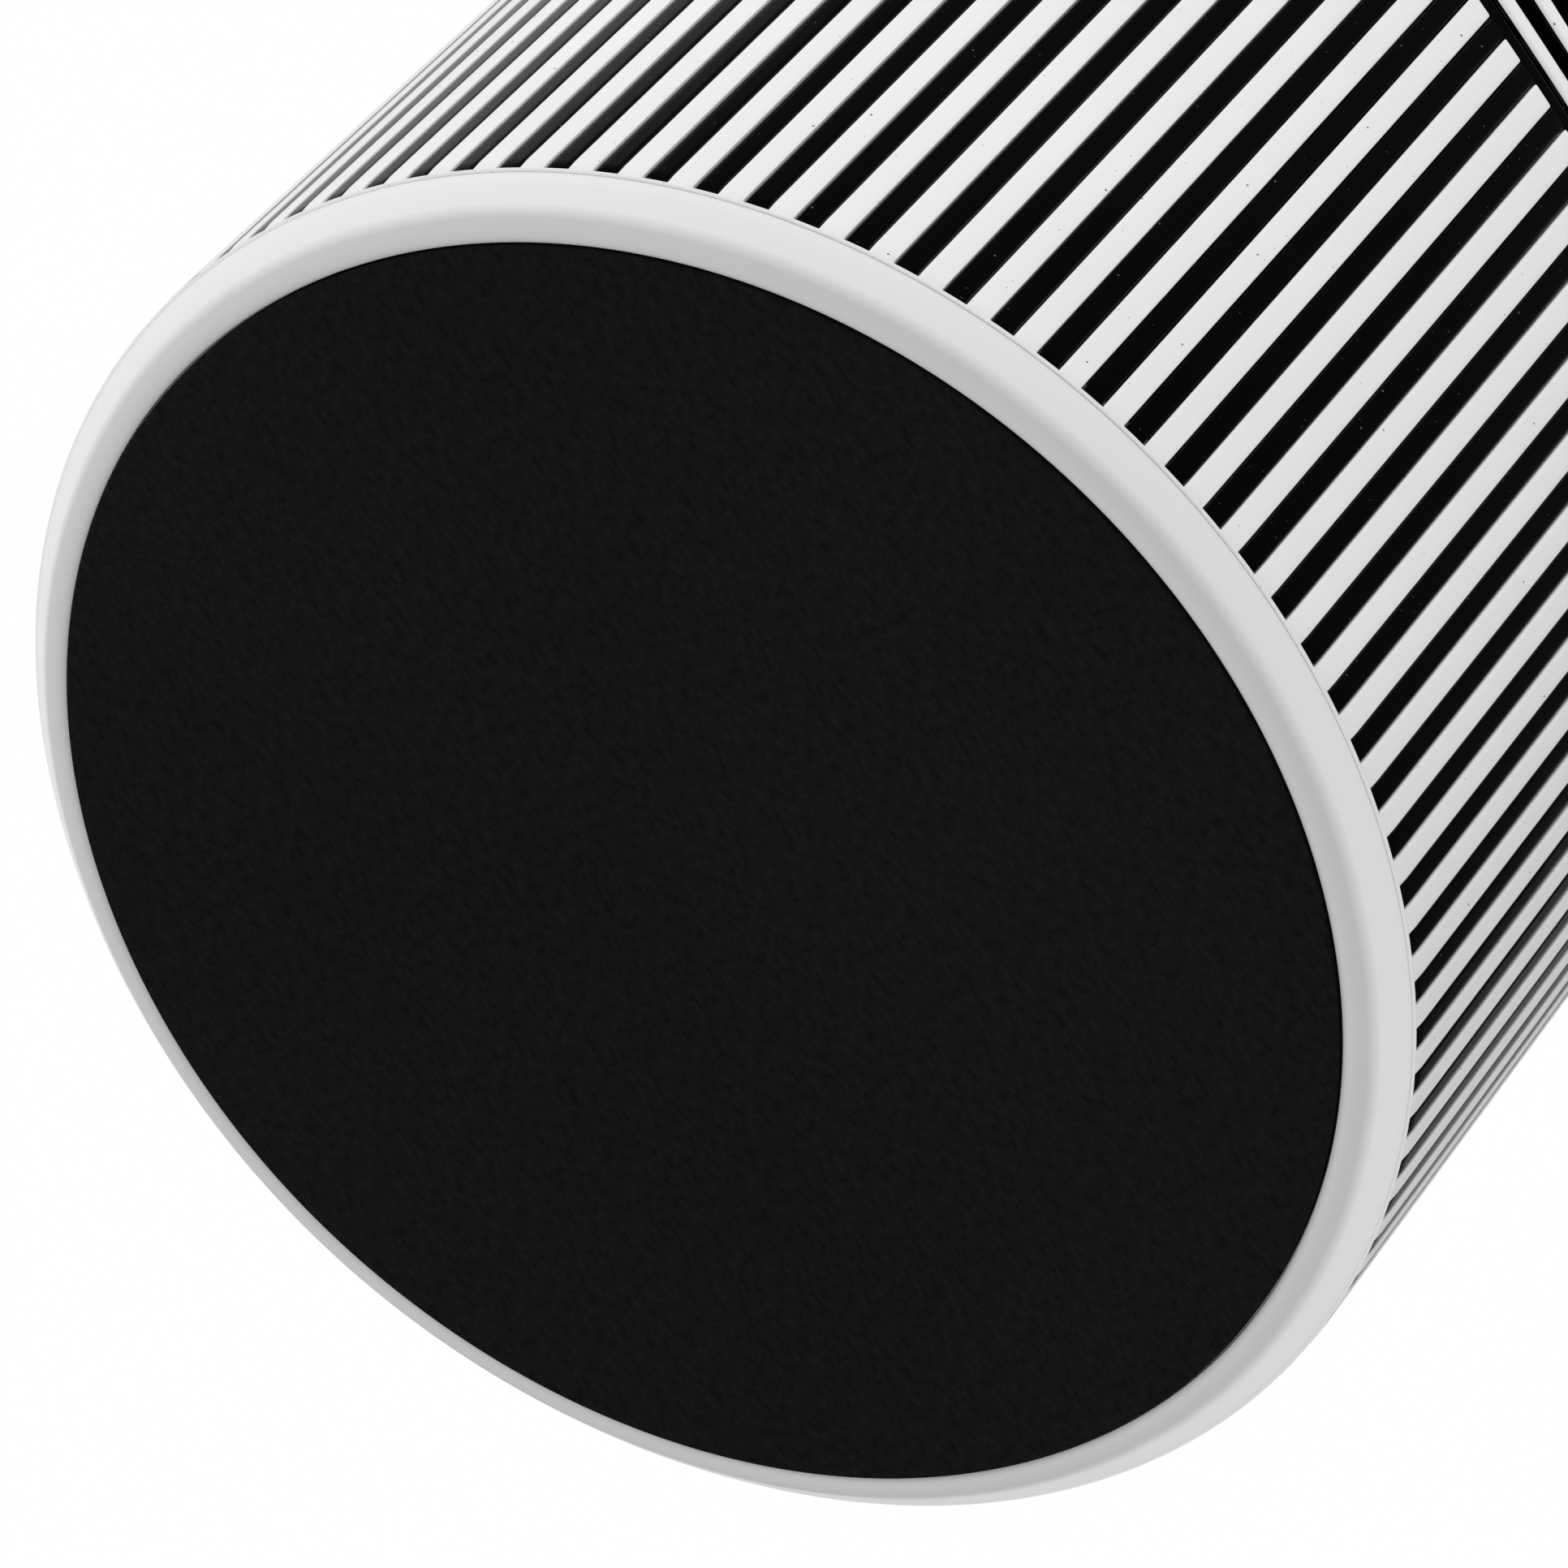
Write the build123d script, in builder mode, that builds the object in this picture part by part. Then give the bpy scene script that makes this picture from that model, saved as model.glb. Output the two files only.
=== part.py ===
"""Cylindrical room air purifier: striped intake shell, round front outlet, filter under a horizontal fan."""

from math import cos, pi, radians, sin
import os

from build123d import *

os.makedirs("parts", exist_ok=True)

# Body: radius, height and the wall the stripes are cut in
BODY_R = 105.0
HEIGHT = 350.0
WALL = 2.5
SKIN_R = BODY_R - WALL
SHELL_Z0 = 6.1
SHELL_Z1 = 340.0
HOOP_R = 96.5
HOOP_H = 4.5

# Stripes: one white bar and one black blade in every pitch
BARS = 90
PITCH = 360.0 / BARS
SLOT_W = pi * BODY_R / BARS
BLADE_GAP = 0.3
BLADE_W = SLOT_W - 2 * BLADE_GAP
BLADE_R = BODY_R - 0.15
STRIPE_Z0 = 6.4
STRIPE_Z1 = 339.5
CAGE_R = 98.0
CAGE_HOOPS = 9

# Round outlet in the front, seen along Y
OUTLET_Z = 213.6
OUTLET_R = 92.4
RINGS = 12
RING_GAP = 3.9
RING_PITCH = 7.0
RING_W = RING_PITCH - 3.7
SPIDER_R = 98.0
SPOKES = 12

# Base
PAD_R = 96.4
PAD_H = 2.0
RIM_R = 104.2
RIM_FLOOR = 0.4
RING_TOP = 5.8
FLANGE_TOP = 4.2
PLATE_TOP = 8.6
MAGNETS = 6
MAGNET_AT = 99.5
PLATE_SCREWS_AT = 84.5

# Filter drum
FILTER_Z0 = 8.9
FILTER_R = 87.0
CORE_R = 45.0
CAP_Z0 = 14.9
CAP_Z1 = 98.0
PLEATS = 72

# Fan chamber
DECK_Z0 = 106.0
DECK_Z1 = 110.0
LINER_R = 97.4
LINER_IN = 95.0
LID_Z0 = 309.0
LID_Z1 = 312.0
BULKHEAD_Y = -17.0
FAN_BORE = 75.2
FAN_R = 74.0
FAN_BLADES = 7
SHAFT_R = 2.0
HOUSING_SCREWS_AT = 82.0
WIRE_Y = 92.2

# Top
PANEL_Z0 = 347.0
PANEL_Z1 = 349.4
PANEL_SCREWS_AT = 58.0
SWITCH_BOARD_Z = 336.0
MAIN_BOARD_Z = 316.0
BOARD_T = 1.6
BUTTONS = {"power": (0.0, 0.0, 10.0), "speed": (-34.0, 0.0, 6.5), "timer": (34.0, 0.0, 6.5)}
LENSES = 5
LENS_STEP = 9.0
LENS_Y = -40.0
LENS_R = 1.5

# Plain patches in the striped shell: start angle, end angle, bottom, top
DOOR_PATCH = (34.0, 58.0, 310.0, SHELL_Z1)
INLET_PATCH = (82.0, 98.0, SHELL_Z0, 36.0)
INLET_Z = 21.0
DOOR_Z0 = 314.5
DOOR_Z1 = 334.5
HINGE_R = BODY_R - WALL / 2
HINGE_A = 38.0
DOOR_END = 54.0
DOOR_MID = (DOOR_Z0 + DOOR_Z1) / 2
PIN_R = 0.6


def polar(radius, degrees, height=0.0):
    """Point at a radius and angle about the body axis."""
    return (radius * cos(radians(degrees)), radius * sin(radians(degrees)), height)


def sector(start, end, reach=130.0):
    """Corners of a wedge that covers the angles from start to end."""
    return [(0, 0), polar(reach, start)[:2], polar(reach, (start + end) / 2)[:2], polar(reach, end)[:2]]


def turned(points, mode=Mode.ADD):
    """Closed (radius, height) outline revolved about the body axis."""
    with BuildSketch(Plane.XZ) as section:
        with BuildLine():
            Polyline(*points, close=True)
        make_face()
    revolve(section.sketch, axis=Axis.Z, mode=mode)


def tube(outer, inner, bottom, top, mode=Mode.ADD):
    """Upright ring about the body axis."""
    with BuildSketch(Plane.XY.offset(bottom)) as section:
        Circle(outer)
        if inner > 0:
            Circle(inner, mode=Mode.SUBTRACT)
    extrude(section.sketch, amount=top - bottom, mode=mode)


def wedge(patch, outer, inner, mode=Mode.ADD):
    """Part of an upright ring between two angles and two heights."""
    start, end, bottom, top = patch
    with BuildSketch(Plane.XY.offset(bottom)) as section:
        Circle(outer)
        Circle(inner, mode=Mode.SUBTRACT)
        with BuildSketch(mode=Mode.PRIVATE) as cutter:
            with BuildLine():
                Polyline(*sector(start, end), close=True)
            make_face()
        add(cutter.sketch, mode=Mode.INTERSECT)
    extrude(section.sketch, amount=top - bottom, mode=mode)


def barrel(outer, inner, front, back, mode=Mode.ADD):
    """Level ring about the outlet axis, from its front face to its back face."""
    with BuildSketch(Plane.XZ.offset(-back)) as section:
        with Locations((0, OUTLET_Z)):
            Circle(outer)
            if inner > 0:
                Circle(inner, mode=Mode.SUBTRACT)
    extrude(section.sketch, amount=back - front, mode=mode)


def wrapped(section, inner, outer):
    """Outline on the front of the body, turned into a piece between two body radii."""
    with BuildPart() as piece:
        extrude(section, amount=BODY_R + 1)
        tube(outer, inner, 90, 330, mode=Mode.INTERSECT)
    return piece.part


def front_ring(outer, inner):
    """Annulus round the outlet centre, drawn on the XZ plane."""
    with BuildSketch(Plane.XZ) as section:
        with Locations((0, OUTLET_Z)):
            Circle(outer)
            Circle(inner, mode=Mode.SUBTRACT)
    return section.sketch


def front_spokes(count, first, width, inner, outer):
    """Radial bars round the outlet centre, drawn on the XZ plane."""
    with BuildSketch(Plane.XZ) as section:
        with Locations((0, OUTLET_Z)):
            with PolarLocations((inner + outer) / 2, count, start_angle=first):
                Rectangle(outer - inner, width)
    return section.sketch


parts = {}

# ---------------------------------------------------------------- base

with BuildPart() as base_ring:
    with BuildSketch(Plane.XZ):
        with BuildLine():
            Polyline((96.7, PAD_H), (96.7, RIM_FLOOR), (98.2, RIM_FLOOR))
            Bezier((98.2, RIM_FLOOR), (99.3, RIM_FLOOR), (100.2, 1.2), (101.0, 2.1))
            Bezier((101.0, 2.1), (102.3, 3.55), (103.8, 4.6), (RIM_R, RING_TOP))
            Polyline((RIM_R, RING_TOP), (95.5, RING_TOP), (95.5, FLANGE_TOP), (80, FLANGE_TOP),
                     (80, PAD_H), (96.7, PAD_H))
        make_face()
    revolve(axis=Axis.Z)
    with Locations((0, 0, RING_TOP)):
        with PolarLocations(MAGNET_AT, MAGNETS):
            Cylinder(2.5, 2.4, align=(Align.CENTER, Align.CENTER, Align.MAX), mode=Mode.SUBTRACT)
    with Locations((0, 0, PAD_H)):
        with PolarLocations(PLATE_SCREWS_AT, MAGNETS, start_angle=30):
            Cylinder(3.1, 1.2, align=(Align.CENTER, Align.CENTER, Align.MIN), mode=Mode.SUBTRACT)
            Cylinder(1.7, 4, align=(Align.CENTER, Align.CENTER, Align.MIN), mode=Mode.SUBTRACT)
parts["base_ring"] = base_ring

with BuildPart() as base_pad:
    tube(PAD_R, 0, 0, PAD_H)
    chamfer(base_pad.edges().group_by(Axis.Z)[0], 0.25)
parts["base_pad"] = base_pad

with BuildPart() as base_plate:
    turned([(0, FLANGE_TOP), (95, FLANGE_TOP), (95, 12), (92.4, 12), (92.4, PLATE_TOP),
            (39.5, PLATE_TOP), (39.5, 14.6), (36.5, 14.6), (36.5, 6.6), (0, 6.6)])
    with Locations((0, 0, 6.6)):
        with PolarLocations(20, 6):
            Box(32, 1.6, 2, align=(Align.CENTER, Align.CENTER, Align.MIN))
    with Locations((0, 0, FLANGE_TOP)):
        with PolarLocations(PLATE_SCREWS_AT, MAGNETS, start_angle=30):
            Cylinder(1.5, 3.6, align=(Align.CENTER, Align.CENTER, Align.MIN), mode=Mode.SUBTRACT)
parts["base_plate"] = base_plate

with BuildPart() as base_magnets:
    with Locations((0, 0, RING_TOP)):
        with PolarLocations(MAGNET_AT, MAGNETS):
            Cylinder(2.5, 2.4, align=(Align.CENTER, Align.CENTER, Align.MAX))
parts["base_magnets"] = base_magnets

with BuildPart() as base_screws:
    with Locations((0, 0, PAD_H)):
        with PolarLocations(PLATE_SCREWS_AT, MAGNETS, start_angle=30):
            Cylinder(3.0, 1.2, align=(Align.CENTER, Align.CENTER, Align.MIN))
            Cylinder(1.5, 5.6, align=(Align.CENTER, Align.CENTER, Align.MIN))
            Box(4.0, 0.7, 0.8, align=(Align.CENTER, Align.CENTER, Align.MIN), mode=Mode.SUBTRACT)
            Box(0.7, 4.0, 0.8, align=(Align.CENTER, Align.CENTER, Align.MIN), mode=Mode.SUBTRACT)
parts["base_screws"] = base_screws

# ---------------------------------------------------------------- striped shell

with BuildSketch(Plane.XY.offset(STRIPE_Z0)) as bar_outline:
    Circle(BODY_R)
    Circle(SKIN_R, mode=Mode.SUBTRACT)
    with PolarLocations(BODY_R - 1, BARS):
        Rectangle(8, SLOT_W, mode=Mode.SUBTRACT)

with BuildPart() as outer_shell:
    extrude(bar_outline.sketch, amount=STRIPE_Z1 - STRIPE_Z0)
    with BuildSketch(Plane.XZ) as bands:
        for low, high, lip in ((SHELL_Z0, STRIPE_Z0, SHELL_Z0), (STRIPE_Z1, SHELL_Z1, SHELL_Z1 - HOOP_H)):
            with Locations((SKIN_R, low)):
                Rectangle(WALL, high - low, align=(Align.MIN, Align.MIN))
            with Locations((HOOP_R, lip)):
                Rectangle(SKIN_R - HOOP_R, HOOP_H, align=(Align.MIN, Align.MIN))
    revolve(bands.sketch, axis=Axis.Z)
    wedge(DOOR_PATCH, BODY_R, SKIN_R)
    wedge(INLET_PATCH, BODY_R, SKIN_R)
    barrel(OUTLET_R, 0, -120, 0, mode=Mode.SUBTRACT)
    wedge((HINGE_A - 0.9, DOOR_END + 0.2, DOOR_Z0, DOOR_Z1), BODY_R + 1, SKIN_R - 1, mode=Mode.SUBTRACT)
    with Locations(polar(HINGE_R, HINGE_A, DOOR_MID)):
        Cylinder(PIN_R, DOOR_Z1 - DOOR_Z0 + 5, mode=Mode.SUBTRACT)
    with Locations((0, SKIN_R, INLET_Z)):
        Box(15, 12, 8.6, mode=Mode.SUBTRACT)
    with Locations((0, 0, SHELL_Z0)):
        with PolarLocations(MAGNET_AT, MAGNETS):
            Cylinder(2.5, 1.6, align=(Align.CENTER, Align.CENTER, Align.MIN), mode=Mode.SUBTRACT)
parts["outer_shell"] = outer_shell

rim = wrapped(front_ring(OUTLET_R + 3.2, OUTLET_R - 1), CAGE_R + 0.9, SKIN_R - 0.2)
hoop_step = (SHELL_Z1 - SHELL_Z0 - 2 * HOOP_H - 4) / (CAGE_HOOPS - 1)

with BuildPart() as louvre_cage:
    with BuildSketch(Plane.XZ) as hoops:
        for n in range(CAGE_HOOPS):
            with Locations((CAGE_R, SHELL_Z0 + HOOP_H + 0.5 + n * hoop_step)):
                Rectangle(2.4, 3.0, align=(Align.MIN, Align.MIN))
    revolve(hoops.sketch, axis=Axis.Z)
    with BuildSketch(Plane.XZ.offset(-BLADE_W / 2)) as blade_outline:
        with BuildLine():
            Polyline((CAGE_R + 0.4, SHELL_Z0 + HOOP_H + 0.3), (SKIN_R + 0.15, SHELL_Z0 + HOOP_H + 0.3),
                     (SKIN_R + 0.15, STRIPE_Z0 + 0.2), (BLADE_R, STRIPE_Z0 + 0.2), (BLADE_R, STRIPE_Z1 - 0.2),
                     (SKIN_R + 0.15, STRIPE_Z1 - 0.2), (SKIN_R + 0.15, SHELL_Z1 - HOOP_H - 0.3),
                     (CAGE_R + 0.4, SHELL_Z1 - HOOP_H - 0.3), close=True)
        make_face()
    with BuildPart(mode=Mode.PRIVATE) as blade:
        extrude(blade_outline.sketch, amount=BLADE_W)
    with PolarLocations(0, BARS):
        add(blade.part)
    add(rim)
    barrel(OUTLET_R, 0, -120, 0, mode=Mode.SUBTRACT)
    wedge((DOOR_PATCH[0], DOOR_PATCH[1], DOOR_PATCH[2] - 0.3, 345), 110, 90, mode=Mode.SUBTRACT)
    wedge((INLET_PATCH[0], INLET_PATCH[1], 0, INLET_PATCH[3] + 0.3), 110, 90, mode=Mode.SUBTRACT)
parts["louvre_cage"] = louvre_cage

with BuildPart() as catch_plates:
    with Locations((0, 0, SHELL_Z0)):
        with PolarLocations(MAGNET_AT, MAGNETS):
            Cylinder(2.5, 1.6, align=(Align.CENTER, Align.CENTER, Align.MIN))
parts["catch_plates"] = catch_plates

# ---------------------------------------------------------------- round outlet

with BuildSketch(Plane.XZ) as ring_outline:
    with Locations((0, OUTLET_Z)):
        for n in range(RINGS):
            Circle(OUTLET_R - RING_GAP - n * RING_PITCH)
            Circle(OUTLET_R - RING_GAP - n * RING_PITCH - RING_W, mode=Mode.SUBTRACT)
        Circle(OUTLET_R - RING_GAP - RINGS * RING_PITCH)
ring_bars = wrapped(ring_outline.sketch, SKIN_R, BODY_R)
ring_ribs = wrapped(front_spokes(4, 45, 1.8, 3, OUTLET_R - 5), SKIN_R, SKIN_R + 1.2)

with BuildPart() as outlet_rings:
    add(ring_bars)
    add(ring_ribs)
parts["outlet_rings"] = outlet_rings

spider_frame = wrapped(front_ring(OUTLET_R - 0.3, OUTLET_R - RING_GAP + 0.2), SPIDER_R, SKIN_R + 1.6)
spider_arms = wrapped(front_spokes(SPOKES, 0, 2.2, 4, OUTLET_R - 1), SPIDER_R, SKIN_R)
spider_hub = wrapped(front_ring(9.0, 0.01), SPIDER_R, SKIN_R)

with BuildPart() as outlet_spider:
    add(spider_frame)
    add(spider_arms)
    add(spider_hub)
parts["outlet_spider"] = outlet_spider

with BuildPart() as outlet_duct:
    barrel(OUTLET_R - 0.5, OUTLET_R - 3.5, -110, BULKHEAD_Y)
    barrel(OUTLET_R - 0.5, FAN_BORE, BULKHEAD_Y - 3, BULKHEAD_Y)
    tube(SPIDER_R - 0.2, 0, 90, 330, mode=Mode.INTERSECT)
    with Locations(Location((0, BULKHEAD_Y - 1.5, OUTLET_Z), (90, 0, 0))):
        with PolarLocations(HOUSING_SCREWS_AT, 6, start_angle=30):
            Cylinder(1.3, 6, mode=Mode.SUBTRACT)
parts["outlet_duct"] = outlet_duct

# ---------------------------------------------------------------- fan chamber

with BuildPart() as fan_deck:
    turned([(48, DECK_Z0), (LINER_R, DECK_Z0), (LINER_R, DECK_Z1), (52, DECK_Z1), (49.6, 112), (48, 112)])
    with Locations((0, WIRE_Y, DECK_Z0 + 2)):
        Cylinder(1.9, 10, mode=Mode.SUBTRACT)
parts["fan_deck"] = fan_deck

with BuildPart() as plenum_liner:
    tube(LINER_R, LINER_IN, DECK_Z1, LID_Z0)
    barrel(OUTLET_R - 0.2, 0, -120, 0, mode=Mode.SUBTRACT)
parts["plenum_liner"] = plenum_liner

with BuildPart() as plenum_lid:
    tube(LINER_R, 0, LID_Z0, LID_Z1)
    with Locations((0, -8, LID_Z1)):
        with GridLocations(96, 56, 2, 2):
            Cylinder(3.5, 4, align=(Align.CENTER, Align.CENTER, Align.MIN))
            Cylinder(1.2, 4, align=(Align.CENTER, Align.CENTER, Align.MIN), mode=Mode.SUBTRACT)
    with Locations((0, WIRE_Y, LID_Z0)):
        Cylinder(1.9, 10, mode=Mode.SUBTRACT)
parts["plenum_lid"] = plenum_lid

with BuildPart() as fan_shroud:
    barrel(79, FAN_BORE, BULKHEAD_Y, 18)
    barrel(86, FAN_BORE, BULKHEAD_Y, BULKHEAD_Y + 3)
    barrel(24, 0, 12, 15)
    barrel(5.8, 0, -8, 12)
    with Locations(Location((0, 13.5, OUTLET_Z), (90, 0, 0))):
        with PolarLocations(50, 5, start_angle=90):
            Box(56, 5, 3)
    barrel(3.2, 0, -8, 12.5, mode=Mode.SUBTRACT)
    with Locations(Location((0, BULKHEAD_Y + 1.5, OUTLET_Z), (90, 0, 0))):
        with PolarLocations(HOUSING_SCREWS_AT, 6, start_angle=30):
            Cylinder(1.3, 6, mode=Mode.SUBTRACT)
parts["fan_shroud"] = fan_shroud

with BuildPart() as shroud_screws:
    with Locations(Location((0, BULKHEAD_Y - 3, OUTLET_Z), (90, 0, 0))):
        with PolarLocations(HOUSING_SCREWS_AT, 6, start_angle=30):
            Cylinder(2.6, 1.8, align=(Align.CENTER, Align.CENTER, Align.MIN))
            Cylinder(1.25, 5.8, align=(Align.CENTER, Align.CENTER, Align.MAX))
            with Locations((0, 0, 1.8)):
                Box(3.4, 0.6, 0.8, align=(Align.CENTER, Align.CENTER, Align.MAX), mode=Mode.SUBTRACT)
                Box(0.6, 3.4, 0.8, align=(Align.CENTER, Align.CENTER, Align.MAX), mode=Mode.SUBTRACT)
parts["shroud_screws"] = shroud_screws

with BuildPart() as motor_stator:
    barrel(9, 5.8, -6, 7)
    with Locations(Location((0, 0.5, OUTLET_Z), (90, 0, 0))):
        with PolarLocations(11.5, 9):
            Box(10, 3.2, 11)
        with PolarLocations(13, 9):
            Box(5.4, 6.0, 13)
        with PolarLocations(17, 9):
            Box(3.4, 10.4, 11)
    barrel(18.8, 5.8, -7, 8, mode=Mode.INTERSECT)
parts["motor_stator"] = motor_stator

with BuildPart() as fan_bearings:
    barrel(3.2, SHAFT_R + 0.02, -8, -4)
    barrel(3.2, SHAFT_R + 0.02, 7, 11)
parts["fan_bearings"] = fan_bearings

with BuildPart() as impeller:
    with Locations(Location((0, -4.5, OUTLET_Z), (90, 0, 0))):
        with PolarLocations(48, FAN_BLADES):
            with Locations(Location((0, 0, 0), (36, 0, 0))):
                Box(56, 27, 2.0)
    barrel(FAN_R, 22, -16, 10, mode=Mode.INTERSECT)
    barrel(24, 0, -15, 8)
    fillet(impeller.edges().filter_by(GeomType.CIRCLE).group_by(Axis.Y)[0], 3)
    barrel(21.6, 0, -12, 9, mode=Mode.SUBTRACT)
    barrel(6, 0, -12, -9)
    barrel(SHAFT_R, 0, -14, -8, mode=Mode.SUBTRACT)
parts["impeller"] = impeller

with BuildPart() as fan_shaft:
    barrel(SHAFT_R, 0, -14, 11.8)
parts["fan_shaft"] = fan_shaft

with BuildPart() as rotor_magnet:
    barrel(21.6, 19.4, -7, 7.5)
parts["rotor_magnet"] = rotor_magnet

# ---------------------------------------------------------------- filter

with BuildPart() as filter_media:
    with BuildSketch(Plane.XY.offset(CAP_Z0)):
        with BuildLine():
            outer_fold = [polar(84.0 if n % 2 else 50.9, n * 180 / PLEATS)[:2] for n in range(2 * PLEATS)]
            Polyline(*outer_fold, close=True)
        make_face()
        with BuildLine():
            inner_fold = [polar(83.1 if n % 2 else 50.0, n * 180 / PLEATS)[:2] for n in range(2 * PLEATS)]
            Polyline(*[(x * 0.988, y * 0.988) for x, y in inner_fold], close=True)
        make_face(mode=Mode.SUBTRACT)
    extrude(amount=CAP_Z1 - CAP_Z0)
parts["filter_media"] = filter_media

with BuildPart() as filter_core:
    tube(48.5, CORE_R, CAP_Z0, CAP_Z1)
    with Locations((0, 0, CAP_Z0 + 5)):
        for row in range(6):
            with Locations((0, 0, row * 12.6)):
                with PolarLocations(46.5, 24, start_angle=7.5 * (row % 2)):
                    Box(8, 6.5, 9, align=(Align.CENTER, Align.CENTER, Align.MIN), mode=Mode.SUBTRACT)
parts["filter_core"] = filter_core

with BuildPart() as pre_filter:
    tube(85.8, 84.9, CAP_Z0, CAP_Z1)
    with Locations((0, 0, CAP_Z0 + 3)):
        with PolarLocations(85.4, 60):
            for row in range(8):
                with Locations((0, 0, row * 9.8)):
                    Box(4, 7.2, 8.2, align=(Align.CENTER, Align.CENTER, Align.MIN), mode=Mode.SUBTRACT)
parts["pre_filter"] = pre_filter

with BuildPart() as filter_cap_lower:
    turned([(40, FILTER_Z0), (FILTER_R, FILTER_Z0), (FILTER_R, CAP_Z0), (40, CAP_Z0)])
parts["filter_cap_lower"] = filter_cap_lower

with BuildPart() as filter_cap_upper:
    turned([(CORE_R, CAP_Z1), (FILTER_R, CAP_Z1), (FILTER_R, 102.4), (64, 102.4), (64, 101.2), (54, 101.2),
            (54, 102.4), (CORE_R, 102.4)])
parts["filter_cap_upper"] = filter_cap_upper

with BuildPart() as filter_seal:
    turned([(54, 101.2), (64, 101.2), (64, 103.6), (61, 105.6), (57, 105.6), (54, 103.6)])
parts["filter_seal"] = filter_seal

with BuildPart() as filter_handle:
    with BuildSketch(Plane.XY.offset(CAP_Z1 + 0.4)):
        Rectangle(2 * CORE_R, 14)
        with BuildSketch(mode=Mode.PRIVATE) as bore:
            Circle(CORE_R)
        add(bore.sketch, mode=Mode.INTERSECT)
    extrude(amount=3.2)
parts["filter_handle"] = filter_handle

# ---------------------------------------------------------------- top

with BuildPart() as top_ring:
    with BuildSketch(Plane.XZ):
        with BuildLine():
            Polyline((BODY_R, SHELL_Z1), (BODY_R, 346.1))
            Bezier((BODY_R, 346.1), (BODY_R, 348.4), (103.4, HEIGHT), (100.0, HEIGHT))
            Polyline((100.0, HEIGHT), (96.7, HEIGHT), (96.7, PANEL_Z0), (90, PANEL_Z0), (90, 344.6),
                     (HOOP_R, 344.6), (HOOP_R, SHELL_Z1), (BODY_R, SHELL_Z1))
        make_face()
    revolve(axis=Axis.Z)
parts["top_ring"] = top_ring

with BuildPart() as top_panel:
    tube(PAD_R, 0, PANEL_Z0, PANEL_Z1)
    tube(16.0, 13.6, PANEL_Z0 + 0.7, PANEL_Z1, mode=Mode.SUBTRACT)
    with Locations((0, 0, PANEL_Z0)):
        with PolarLocations(PANEL_SCREWS_AT, 4, start_angle=45):
            Cylinder(3.4, 9.4, align=(Align.CENTER, Align.CENTER, Align.MAX))
    with Locations((0, 0, SWITCH_BOARD_Z + BOARD_T)):
        with PolarLocations(PANEL_SCREWS_AT, 4, start_angle=45):
            Cylinder(1.2, 7.0, align=(Align.CENTER, Align.CENTER, Align.MIN), mode=Mode.SUBTRACT)
    for x, y, size in BUTTONS.values():
        with Locations((x, y, PANEL_Z0)):
            Cylinder(size + 0.3, 8, mode=Mode.SUBTRACT)
    with Locations((0, LENS_Y, PANEL_Z0)):
        with GridLocations(LENS_STEP, 1, LENSES, 1):
            Cylinder(LENS_R, 8, mode=Mode.SUBTRACT)
parts["top_panel"] = top_panel

with BuildPart() as light_ring:
    tube(16.0, 13.6, PANEL_Z0 + 0.7, PANEL_Z1)
parts["light_ring"] = light_ring

with BuildPart() as indicator_lenses:
    with Locations((0, LENS_Y, PANEL_Z0)):
        with GridLocations(LENS_STEP, 1, LENSES, 1):
            Cylinder(LENS_R, PANEL_Z1 - PANEL_Z0, align=(Align.CENTER, Align.CENTER, Align.MIN))
parts["indicator_lenses"] = indicator_lenses

with BuildPart() as control_board:
    tube(64, 0, SWITCH_BOARD_Z, SWITCH_BOARD_Z + BOARD_T)
    with Locations((0, 0, SWITCH_BOARD_Z)):
        with PolarLocations(PANEL_SCREWS_AT, 4, start_angle=45):
            Cylinder(1.4, 8, mode=Mode.SUBTRACT)
parts["control_board"] = control_board

with BuildPart() as board_switches:
    for x, y, size in BUTTONS.values():
        with Locations((x, y, SWITCH_BOARD_Z + BOARD_T)):
            Box(6, 6, 2.6, align=(Align.CENTER, Align.CENTER, Align.MIN))
            Cylinder(1.7, 3.4, align=(Align.CENTER, Align.CENTER, Align.MIN))
    with Locations((0, LENS_Y, SWITCH_BOARD_Z + BOARD_T)):
        with GridLocations(LENS_STEP, 1, LENSES, 1):
            Box(2.4, 1.6, 1.0, align=(Align.CENTER, Align.CENTER, Align.MIN))
parts["board_switches"] = board_switches

with BuildPart() as main_board:
    with Locations((0, -8, MAIN_BOARD_Z)):
        Box(104, 64, BOARD_T, align=(Align.CENTER, Align.CENTER, Align.MIN))
        with GridLocations(96, 56, 2, 2):
            Cylinder(1.4, 8, mode=Mode.SUBTRACT)
parts["main_board"] = main_board

with BuildPart() as board_parts:
    with Locations((-28, -14, MAIN_BOARD_Z + BOARD_T)):
        Box(30, 22, 12, align=(Align.CENTER, Align.CENTER, Align.MIN))
    for x, y, size, tall in ((2, -24, 5, 14), (15, -24, 5, 14), (2, -8, 3.2, 9), (12, -8, 3.2, 9)):
        with Locations((x, y, MAIN_BOARD_Z + BOARD_T)):
            Cylinder(size, tall, align=(Align.CENTER, Align.CENTER, Align.MIN))
    for x, y in ((34, -22), (34, -10), (34, 2), (-30, 10), (-12, 10), (8, 10)):
        with Locations((x, y, MAIN_BOARD_Z + BOARD_T)):
            Box(11, 6.5, 5, align=(Align.CENTER, Align.CENTER, Align.MIN))
parts["board_parts"] = board_parts

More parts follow.
